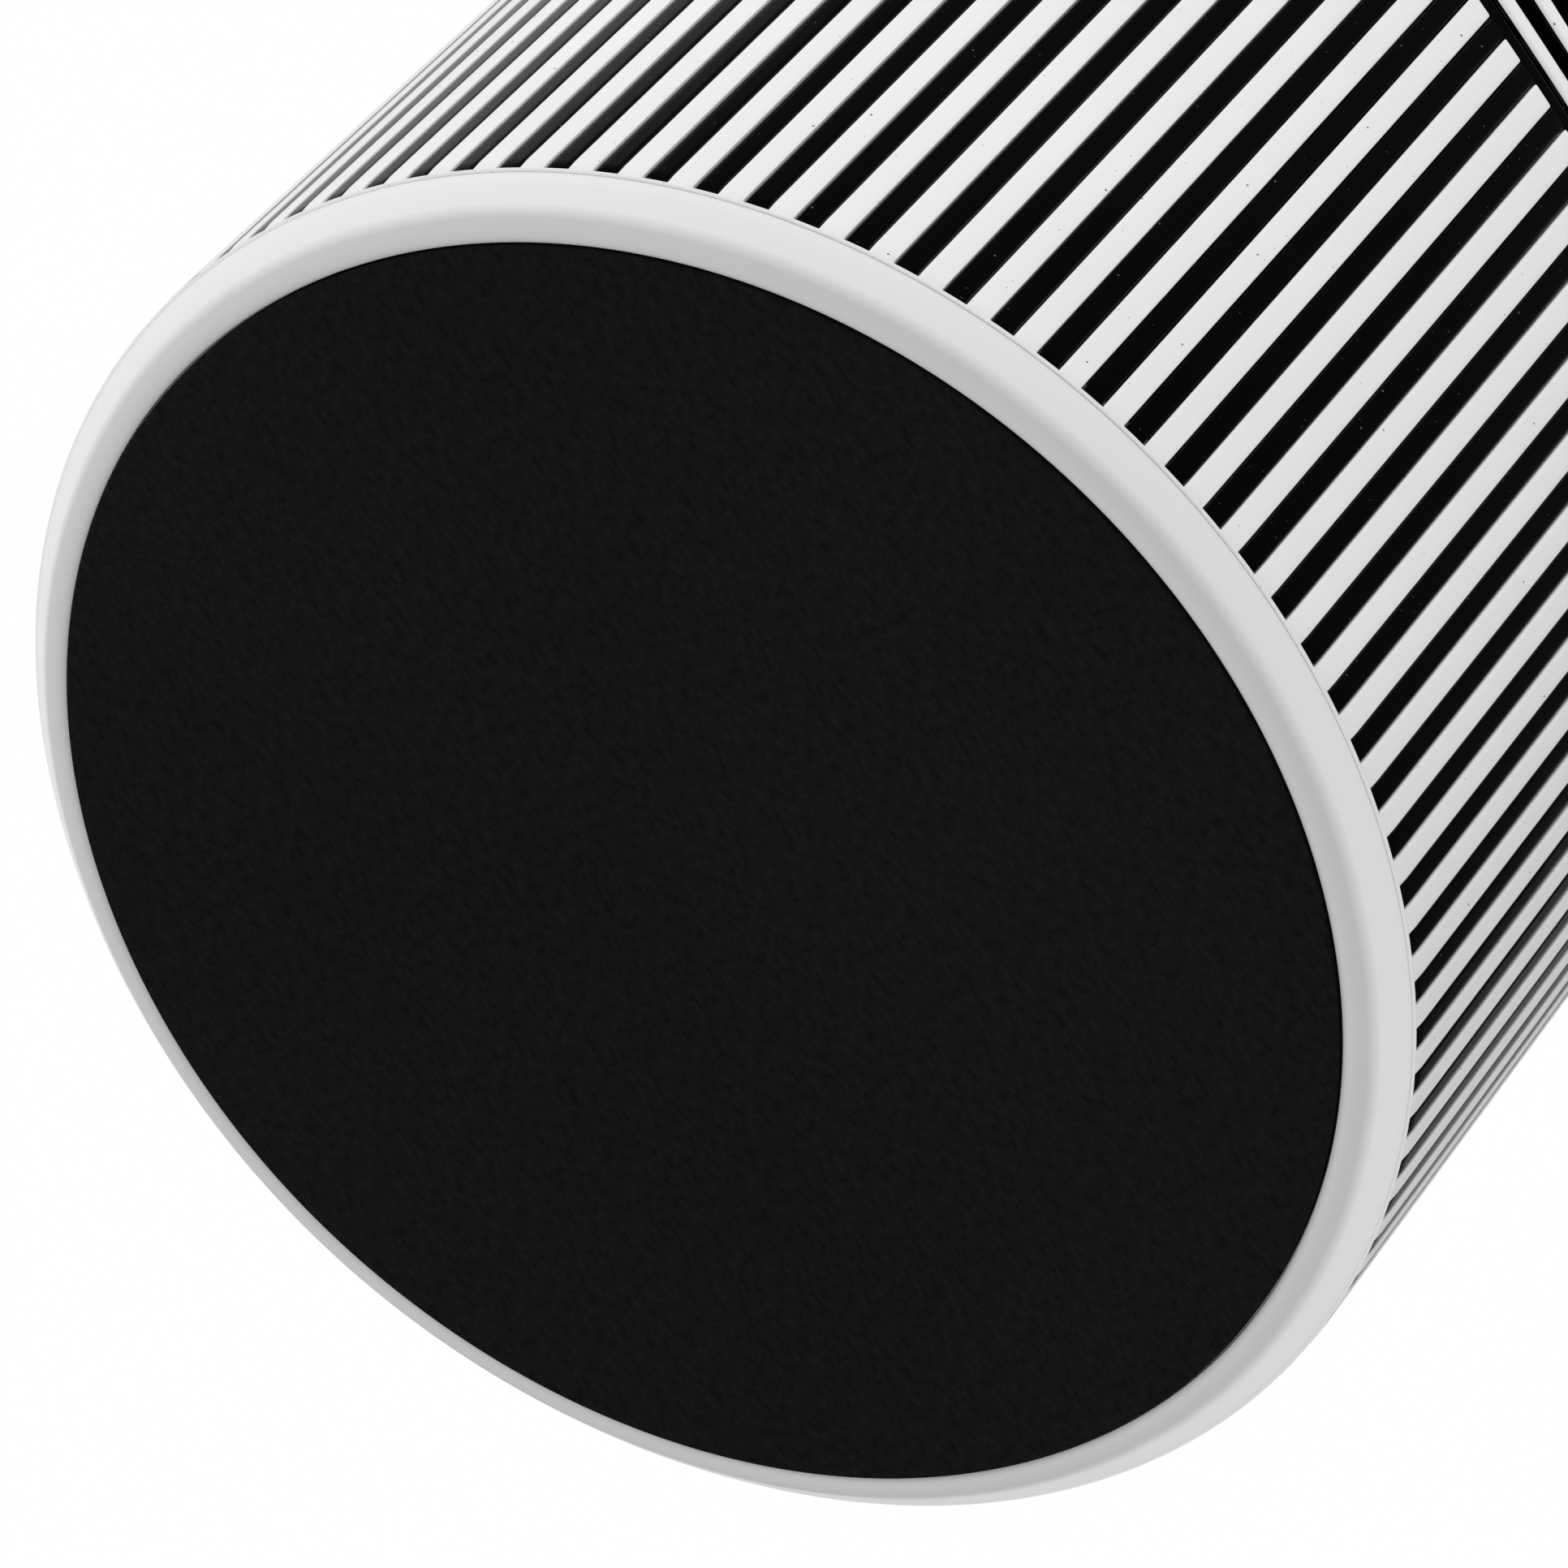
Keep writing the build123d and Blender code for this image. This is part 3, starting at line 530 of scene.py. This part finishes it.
def bar_between(loop, low, high, edge):
    """Bar whose ends are a height or (side, radius) of the outlet circle, each with a small round."""

    def level(r, a, end, inset):
        if not isinstance(end, tuple):
            return end + (inset if end is low else -inset)
        side, radius = end
        height = outlet_edge(r * math.cos(math.radians(a)), side, radius + inset)
        return OUTLET_Z if height is None else height

    def shrunk(amount):
        if not amount:
            return loop
        r_mid = sum(r for r, a in loop) / len(loop)
        a_mid = sum(a for r, a in loop) / len(loop)
        out = []
        for r, a in loop:
            dr = r - r_mid
            da = math.radians(a - a_mid) * r_mid
            out.append((r - math.copysign(min(amount, abs(dr)), dr) if r > r_mid else r,
                        a_mid + math.degrees((da - math.copysign(min(amount, abs(da)), da)) / r_mid)))
        return out

    # Each step of an end is (distance in from the end, how much smaller the section is there).
    steps = ((0.0, edge), (0.3 * edge, 0.3 * edge), (edge, 0.0))
    rows = []
    for end, end_steps in ((low, (*steps, (TAPER_Z1 - SHELL_Z0, 0.0))), (high, steps[::-1])):
        for inset, amount in end_steps:
            row = []
            for r, a in shrunk(amount * 0.9):
                z = level(r, a, end, inset)
                row.append(around(r - foot_taper(r, z), a, z))
            rows.append(row)
    return swept(rows)


def on_front(x, z, radius):
    """Point of the front wall at a body radius."""
    return (x, -math.sqrt(max(radius * radius - x * x, 0.0)), z)


def front_ring(outline, steps=288):
    """Ring round the outlet axis: its section is (distance from the outlet axis, body radius)."""
    loops = []
    for n in range(steps):
        a = 2 * math.pi * n / steps
        loops.append([on_front(rho * math.cos(a), OUTLET_Z + rho * math.sin(a), r) for rho, r in outline])
    return swept(loops, closed=True)


def front_spoke(degrees, start, end, width, inner, outer, steps=24):
    """Straight radial bar that follows the front wall."""
    a = math.radians(degrees)
    along, across = (math.cos(a), math.sin(a)), (-math.sin(a), math.cos(a))
    section = ((-0.5, inner), (-0.5, outer - 0.3), (-0.32, outer), (0.32, outer), (0.5, outer - 0.3),
               (0.5, inner))
    loops = []
    for n in range(steps + 1):
        rho = start + (end - start) * n / steps
        loop = []
        for side, r in section:
            x = along[0] * rho + across[0] * width * side
            z = along[1] * rho + across[1] * width * side
            loop.append(on_front(x, OUTLET_Z + z, r))
        loops.append(loop)
    return swept(loops)


def plate(starts, levels, inner, outer, hole):
    """Curved plate on a grid of angles and heights, with one rectangular hole given in grid cells."""
    columns, rows = len(starts) - 1, len(levels) - 1
    kept = {(i, j) for i in range(columns) for j in range(rows)
            if not (hole[0] <= i < hole[1] and hole[2] <= j < hole[3])}
    index, points, faces = {}, [], []

    def point(i, j, depth):
        key = (i, j, depth)
        if key not in index:
            index[key] = len(points)
            points.append(around(outer if depth == 0 else inner, starts[i], levels[j]))
        return index[key]

    for i, j in kept:
        corners = [(i, j), (i + 1, j), (i + 1, j + 1), (i, j + 1)]
        faces.append(tuple(point(a, b, 0) for a, b in corners))
        faces.append(tuple(point(a, b, 1) for a, b in reversed(corners)))
        for n, (di, dj) in enumerate(((0, -1), (1, 0), (0, 1), (-1, 0))):
            if (i + di, j + dj) not in kept:
                (a, b), (c, d) = corners[n], corners[(n + 1) % 4]
                faces.append((point(a, b, 0), point(a, b, 1), point(c, d, 1), point(c, d, 0)))
    return points, faces


def spread(a, b, count):
    """Evenly spaced numbers from a to b, both included."""
    return [a + (b - a) * n / count for n in range(count + 1)]


def bevel(thing, width, segments=2, angle=40):
    modifier = thing.modifiers.new("edge", "BEVEL")
    modifier.width = width * MM
    modifier.segments = segments
    modifier.limit_method = "ANGLE"
    modifier.angle_limit = math.radians(angle)
    modifier.harden_normals = True
    return thing


# ------------------------------------------------------------------ base

shoulder = (98.2, RING_FLOOR)
flare = (101.0, 2.1)
ring_outline = [(RING_IN_R, PAD_TOP), (RING_IN_R, 0.85)]
ring_outline += bezier((96.8, 0.75), (97.2, 0.5), (97.6, RING_FLOOR), shoulder, 5)
ring_outline += bezier(shoulder, (99.3, RING_FLOOR), (100.2, 1.2), flare, 8)[1:]
ring_outline += bezier(flare, (102.3, 3.55), (103.9, 4.6), (RIM_R + 0.2, RING_TOP + 0.1), 8)[1:]
ring_outline += [(RIM_R + 0.15, RING_TOP + 0.17), (RIM_R, RING_TOP + RING_LIP),
                 (RECESS_R, RING_TOP + RING_LIP), (RECESS_R, FLANGE_TOP), (FLANGE_R, FLANGE_TOP),
                 (FLANGE_R, PAD_TOP)]
solid("base_ring_body", [lathe(ring_outline, 480)], "base", BASE_RING, ("base_ring",))

pad_outline = [(0, 0.0), (40, 0.0), (80, 0.0), (95.9, 0.0), (96.2, 0.08), (PAD_R, 0.3), (PAD_R, PAD_TOP),
               (0, PAD_TOP)]
solid("base_pad_disc", [lathe(pad_outline, 480)], "base", PAD, ("base_pad",))

# ------------------------------------------------------------------ white bars and bands

bars, blades = [], []
bar_half_in = math.degrees((math.pi * SKIN_R / BARS * 2 - SLOT_W) / 2 / SKIN_R)
bar_half_out = PITCH / 4
blade_half = math.degrees(BLADE_W / 2 / BLADE_R)
for k in range(BARS):
    for kind in ("bar", "blade"):
        middle = PITCH * k + (PITCH / 2 if kind == "bar" else 0.0)
        off_front = abs((middle - FRONT + 180) % 360 - 180)
        if kind == "bar":
            loop = bar_loop(middle, SKIN_R, BODY_R, bar_half_in, bar_half_out, BAR_EDGE)
            ends = [STRIPE_Z0 - BAR_INTO_BAND, STRIPE_Z1 + BAR_INTO_BAND]
            edge, out, reach, off_patch = BAR_EDGE, bars, BAR_REACH, 0.0
        else:
            loop = bar_loop(middle, BLADE_BACK_R, BLADE_R, blade_half * 1.05, blade_half, BLADE_EDGE)
            ends = [STRIPE_Z0 + BLADE_OFF_BAND, STRIPE_Z1 - BLADE_OFF_BAND]
            edge, out, reach, off_patch = BLADE_EDGE, blades, BLADE_REACH, BLADE_OFF_PATCH
        if DOOR_PATCH[0] < middle < DOOR_PATCH[1]:
            ends[1] = DOOR_PATCH[2] - off_patch
        if INLET_PATCH[0] < middle < INLET_PATCH[1]:
            ends[0] = INLET_PATCH[3] + off_patch
        if off_front < reach:
            out.append(bar_between(loop, ends[0], (-1, OUTLET_R), edge))
            out.append(bar_between(loop, (1, OUTLET_R), ends[1], edge))
        else:
            out.append(bar_between(loop, ends[0], ends[1], edge))

bottom_band = rounded([(BAND_R, SHELL_Z0), (BODY_R - TAPER, SHELL_Z0), (BODY_R - TAPER, STRIPE_Z0),
                       (SKIN_R, STRIPE_Z0), (SKIN_R, SHELL_Z0 + BAND_H), (BAND_R, SHELL_Z0 + BAND_H)], 0.1, 2)
top_band = rounded([(BAND_R, SHELL_Z1 - BAND_H), (SKIN_R, SHELL_Z1 - BAND_H), (SKIN_R, STRIPE_Z1),
                    (BODY_R, STRIPE_Z1), (BODY_R, SHELL_Z1), (BAND_R, SHELL_Z1)], 0.15, 2)
solid("shell_bars", bars + [lathe(bottom_band, 480), lathe(top_band, 480)], "housing", WHITE,
      ("outer_shell",), weld=False)
door_turns = [35.0, 37.1] + spread(38.0, 53.5, 12) + [54.2, 57.0]
door_frame = plate(door_turns, [309.95, 314.5, 334.5, 339.6], SKIN_R, BODY_R - 0.02, (1, 14, 1, 2))
inlet_turns = [83.0, 84.5, 85.9] + spread(86.7, 93.3, 6) + [94.1, 95.5, 97.0]
inlet_frame = plate(inlet_turns, [STRIPE_Z0 + 0.1, 16.7, 25.3, 36.0], SKIN_R, BODY_R - 0.02, (2, 9, 1, 2))
frames = solid("shell_panels", [door_frame, inlet_frame], "housing", WHITE, (), angle=30)
bevel(frames, 0.3)

# ------------------------------------------------------------------ black cage

hoops = []
hoop_step = (SHELL_Z1 - SHELL_Z0 - 2 * BAND_H - HOOP_H - 1.0) / (HOOPS - 1)
for n in range(HOOPS):
    low = SHELL_Z0 + BAND_H + 0.5 + n * hoop_step
    outline = [(HOOP_IN_R, low), (HOOP_OUT_R, low), (HOOP_OUT_R, low + HOOP_H), (HOOP_IN_R, low + HOOP_H)]
    reach = OUTLET_R ** 2 - (low + HOOP_H / 2 - OUTLET_Z) ** 2
    if reach > 0:
        gap = math.degrees(math.asin(min(1.0, math.sqrt(reach) / 100.0)))
        hoops.append(arc(outline, FRONT + gap + 1, FRONT + 359 - gap, 240))
    else:
        hoops.append(lathe(outline, 240))
rim = front_ring([(OUTLET_R, 98.9), (OUTLET_R, 102.2), (OUTLET_R + CAGE_RIM_W, 102.2),
                  (OUTLET_R + CAGE_RIM_W, 98.9)])
solid("louvre_blades", blades + hoops + [rim], "housing", BLACK, ("louvre_cage",), weld=False)

# ------------------------------------------------------------------ round outlet

rings = []
for n in range(RINGS):
    out = OUTLET_R - RING_GAP - n * RING_PITCH
    inn = out - RING_W
    crown = [(inn, SKIN_R)] + [(inn + step, BODY_R - drop) for step, drop in CROWN_EDGE]
    crown += [(out - step, BODY_R - drop) for step, drop in reversed(CROWN_EDGE)] + [(out, SKIN_R)]
    rings.append(front_ring(crown))
cap_r = OUTLET_R - RING_GAP - RINGS * RING_PITCH
centre = [(0.0, SKIN_R), (0.0, BODY_R), (cap_r - 0.85, BODY_R), (cap_r - 0.4, BODY_R - 0.14),
          (cap_r, BODY_R - 0.9), (cap_r, SKIN_R)]
rings.append(front_ring(centre, 96))
for n in range(4):
    rings.append(front_spoke(45 + 90 * n, 3, OUTLET_R - 5, 1.8, SKIN_R, SKIN_R + 1.2, 36))
ring_set = solid("outlet_ring_set", rings, "housing", WHITE, ("outlet_rings",), angle=50)

# White on the crowns only: the rings' sides and the ribs behind them are black.
ring_set.data.materials.append(BLACK)
for face in ring_set.data.polygons:
    reach = max(math.hypot(*ring_set.data.vertices[i].co.xy) for i in face.vertices)
    if reach < (BODY_R - CROWN) * MM:
        face.material_index = 1

web_rim = [(OUTLET_R - 3.7, WEB_BACK_R), (OUTLET_R - 3.7, WEB_RIM_R - 0.3), (OUTLET_R - 3.4, WEB_RIM_R),
           (OUTLET_R - 0.6, WEB_RIM_R), (OUTLET_R - 0.3, WEB_RIM_R - 0.3), (OUTLET_R - 0.3, WEB_BACK_R)]
web_hub = [(0.0, WEB_BACK_R), (0.0, WEB_FRONT_R), (8.6, WEB_FRONT_R), (9.0, WEB_FRONT_R - 0.3),
           (9.0, WEB_BACK_R)]
web = [front_ring(web_rim), front_ring(web_hub, 96)]
for n in range(WEB_SPOKES):
    web.append(front_spoke(360 / WEB_SPOKES * n, 4, OUTLET_R - 1, 2.2, WEB_BACK_R, WEB_FRONT_R, 40))
solid("outlet_web", web, "housing", BLACK, ("outlet_spider",))

# ------------------------------------------------------------------ fan


def fan_blade(turn, rows=18, points=11):
    """Twisted, swept blade with a thin aerofoil section."""
    loops = []
    for n in range(rows + 1):
        t = n / rows
        rho = BLADE_ROOT_R + (BLADE_TIP_R - BLADE_ROOT_R) * t
        pitch = math.radians(50 - 24 * t)
        chord = 24 + 9 * math.sin(math.pi * min(1.0, 0.25 + 0.6 * t))
        sweep = 0.10 + 0.30 * t * t
        thick = 2.2 - 1.0 * t
        upper, lower = [], []
        for j in range(points):
            s = j / (points - 1)
            body = thick * 1.6 * math.sqrt(max(s * (1 - s), 0.0)) + 0.12
            camber = 2.6 * 4 * s * (1 - s)
            for row, offset in ((upper, 0.5), (lower, -0.5)):
                u = (s - 0.5) * chord
                v = camber + offset * body
                tangential = u * math.cos(pitch) - v * math.sin(pitch)
                axial = u * math.sin(pitch) + v * math.cos(pitch)
                a = math.radians(turn) + sweep + tangential / rho
                y = min(max(-4.5 - axial, -15.5), 9.5)
                row.append((rho * math.cos(a), y, OUTLET_Z + rho * math.sin(a)))
        loops.append(upper + lower[::-1])
    return swept(loops)


def turned_y(outline, steps=128):
    """Closed (radius, y) outline turned about the outlet axis."""
    loops = []
    for n in range(steps):
        a = 2 * math.pi * n / steps
        loops.append([(r * math.cos(a), y, OUTLET_Z + r * math.sin(a)) for r, y in outline])
    return swept(loops, closed=True)


hub = [(0.0, -15.0), (8.0, -14.95), (16.0, -14.5), (20.6, -13.4), (22.9, -11.5), (HUB_R, -8.6), (HUB_R, 8.0),
       (21.7, 8.0), (21.7, -11.6), (6.0, -11.6), (6.0, -9.0), (2.05, -9.0), (2.05, -13.6), (0.0, -13.6)]
fan_pieces = [turned_y(hub)] + [fan_blade(360.0 * n / FAN_BLADES) for n in range(FAN_BLADES)]
solid("fan_wheel", fan_pieces, "fan", DARK, ("impeller",), angle=40)

# ------------------------------------------------------------------ top

top_outline = [(BODY_R, SHELL_Z1 + 0.15), (BODY_R, 346.2)]
top_outline += bezier((BODY_R, 346.2), (BODY_R, 348.4), (103.4, HEIGHT), (100.0, HEIGHT))
top_outline += [(96.85, HEIGHT), (96.7, HEIGHT - 0.15), (96.7, 347.0), (90, 347.0), (90, 344.6),
                (96.5, 344.6), (96.5, SHELL_Z1), (BODY_R - 0.15, SHELL_Z1)]
solid("top_ring_body", [lathe(top_outline, 480)], "housing", WHITE_RING, ("top_ring",))
bevel(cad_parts["top_panel"], 0.25, 2, 50)


def button_outline(size):
    """Dished cap of a radius, with a flange and a plunger under the panel."""
    return [(0, 349.72), (size * 0.55, 349.76), (size * 0.85, 349.9), (size - 0.9, HEIGHT),
            (size - 0.35, 349.9), (size - 0.08, 349.6), (size, 349.2), (size, 346.7), (size + 1.6, 346.7),
            (size + 1.6, 345.2), (1.7, 345.2), (1.7, 342.3), (0, 342.3)]


def moved(piece, dx, dy):
    points, faces = piece
    return [(x + dx, y + dy, z) for x, y, z in points], faces


def flat_arc(radius, width, start, end, low, high, steps=40):
    r0, r1 = radius - width / 2, radius + width / 2
    return arc([(r0, low), (r1, low), (r1, high), (r0, high)], start, end, steps)


def flat_bar(x0, y0, x1, y1, width, low, high):
    a, b = Vector((x0, y0)), Vector((x1, y1))
    across = Vector((-(b - a).y, (b - a).x)).normalized() * width / 2
    corners = [a - across, b - across, b + across, a + across]
    return swept([[(c.x, c.y, low) for c in corners], [(c.x, c.y, high) for c in corners]])


for name, x, size in (("power", 0.0, 10.0), ("speed", -34.0, 6.5), ("timer", 34.0, 6.5)):
    node = name + "_button"
    solid(node + "_cap", [moved(lathe(button_outline(size), 128), x, 0)], node, BUTTON, (node,))
    low, high = 349.6, 349.86
    if name == "power":
        glyph = [flat_arc(3.6, 0.7, 125, 415, low, high), flat_bar(0, 1.4, 0, 4.6, 0.7, low, high)]
    elif name == "speed":
        glyph = [flat_arc(0.75, 0.5, 0, 350, low, high)]
        for n in range(3):
            a = math.radians(120 * n + 20)
            lobe = flat_arc(1.25, 0.45, 120 * n - 90, 120 * n + 130, low, high, 24)
            glyph.append(moved(lobe, 2.0 * math.cos(a), 2.0 * math.sin(a)))
    else:
        glyph = [flat_arc(2.9, 0.5, 0, 359, low, high), flat_bar(0, 0, 0, 1.9, 0.5, low, high),
                 flat_bar(0, 0, 1.4, 0, 0.5, low, high)]
    solid(name + "_icon", [moved(g, x, 0) for g in glyph], node, ICON, ())

# ------------------------------------------------------------------ softened edges on carried-over parts

for name in ("base_plate", "fan_deck", "fan_shroud", "filter_cap_lower", "filter_cap_upper",
             "filter_handle", "power_inlet", "board_parts", "dust_sensor", "sensor_door"):
    bevel(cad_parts[name], 0.2, 2, 50)

# ------------------------------------------------------------------ stage, light and camera

FLOOR_HALF = 6
FLOOR_Z = -0.0006
floor_data = bpy.data.meshes.new("floor")
floor_data.from_pydata([(-FLOOR_HALF, -FLOOR_HALF, FLOOR_Z), (FLOOR_HALF, -FLOOR_HALF, FLOOR_Z),
                        (FLOOR_HALF, FLOOR_HALF, FLOOR_Z), (-FLOOR_HALF, FLOOR_HALF, FLOOR_Z)],
                       [], [(0, 1, 2, 3)])
floor = bpy.data.objects.new("floor", floor_data)
bpy.context.scene.collection.objects.link(floor)
floor_look = bpy.data.materials.new("floor_pale")
floor_look.use_nodes = True
tree = floor_look.node_tree
shader = tree.nodes["Principled BSDF"]
shader.inputs["Base Color"].default_value = (0.86, 0.86, 0.86, 1)
shader.inputs["Roughness"].default_value = 0.8
shader.inputs["Specular IOR Level"].default_value = 0.1
# Seen from below, the floor is clear.
side = tree.nodes.new("ShaderNodeNewGeometry")
clear = tree.nodes.new("ShaderNodeBsdfTransparent")
choose = tree.nodes.new("ShaderNodeMixShader")
tree.links.new(side.outputs["Backfacing"], choose.inputs["Fac"])
tree.links.new(shader.outputs["BSDF"], choose.inputs[1])
tree.links.new(clear.outputs["BSDF"], choose.inputs[2])
tree.links.new(choose.outputs["Shader"], tree.nodes["Material Output"].inputs["Surface"])
floor_data.materials.append(floor_look)
floor.visible_shadow = False
floor.visible_diffuse = False
floor.visible_glossy = False
floor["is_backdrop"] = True

scene = bpy.context.scene


def studio_world():
    """Even light that fades below and to one side, dimmer in reflections and plain white to the camera."""
    fades_to = (0.58, -0.81, 0.0)
    shines_from = (0.02, 0.85, 0.53)
    world = bpy.data.worlds.new("studio")
    world.use_nodes = True
    g = Graph(world.node_tree, "Generated")
    split = g.new("ShaderNodeSeparateXYZ")
    g.link(g.place, split.inputs["Vector"])
    rise = g.span(split.outputs["Z"], -0.35, 0.5, 0.70, 1.0)
    fall = g.span(g.along(fades_to), -0.2, 1.0, 1.0, 0.66)
    sheen = g.span(g.along(shines_from), 0.45, 1.0, 0.02, 0.6)
    path = g.new("ShaderNodeLightPath")
    strength = g.choose(path.outputs["Is Glossy Ray"], g.math("MULTIPLY", rise, fall), sheen)
    strength = g.choose(path.outputs["Is Camera Ray"], strength, 1.0)
    background = world.node_tree.nodes["Background"]
    background.inputs["Color"].default_value = (1, 1, 1, 1)
    g.link(strength, background.inputs["Strength"])
    return world


scene.world = studio_world()


def area(name, place, target, size, power):
    """Round lamp that neither the camera nor a reflection sees."""
    light = bpy.data.lights.new(name, "AREA")
    light.shape = "DISK"
    light.size = size
    light.energy = power
    thing = bpy.data.objects.new(name, light)
    thing.location = place
    thing.rotation_euler = (Vector(target) - Vector(place)).to_track_quat("-Z", "Y").to_euler()
    scene.collection.objects.link(thing)
    thing.visible_camera = False
    thing.visible_glossy = False
    return thing


area("key", (-1.2, -0.9, 1.3), (0, 0, 0.15), 1.2, 14)
area("fill", (1.3, -1.0, 0.7), (0, 0, 0.15), 1.4, 3)
area("low", (-1.3, 0.85, -0.5), (0, 0, 0), 0.5, 4)
area("under", (0.3, -0.4, -1.7), (0, 0, 0), 1.2, 7)

camera_data = bpy.data.cameras.new("camera")
camera_data.sensor_fit = "HORIZONTAL"
camera_data.sensor_width = 36
camera_data.lens = 204.968944
camera_data.clip_start = 0.05
camera_data.clip_end = 30
camera = bpy.data.objects.new("camera", camera_data)
scene.collection.objects.link(camera)
scene.camera = camera

# The camera's place and axes, in body radii and turned about the body axis.
turn = Matrix.Rotation(math.radians(-20.6), 3, "Z")
eye = turn @ Vector((0.0104, -7.804, -8.454)) * (BODY_R * MM)
right = turn @ Vector((0.7447, -0.4975, 0.4448))
up = turn @ Vector((-0.6673, -0.5552, 0.4964))
ahead = right.cross(up).normalized() * -1
right.normalize()
up = right.cross(ahead).normalized()
camera.matrix_world = Matrix(((right.x, up.x, -ahead.x, eye.x), (right.y, up.y, -ahead.y, eye.y),
                              (right.z, up.z, -ahead.z, eye.z), (0, 0, 0, 1)))
scene.view_settings.view_transform = "Standard"
scene.view_settings.look = "None"

size = {"start": [list(map(float, corner)) for corner in bounds_start],
        "end": [list(map(float, corner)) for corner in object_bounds()]}
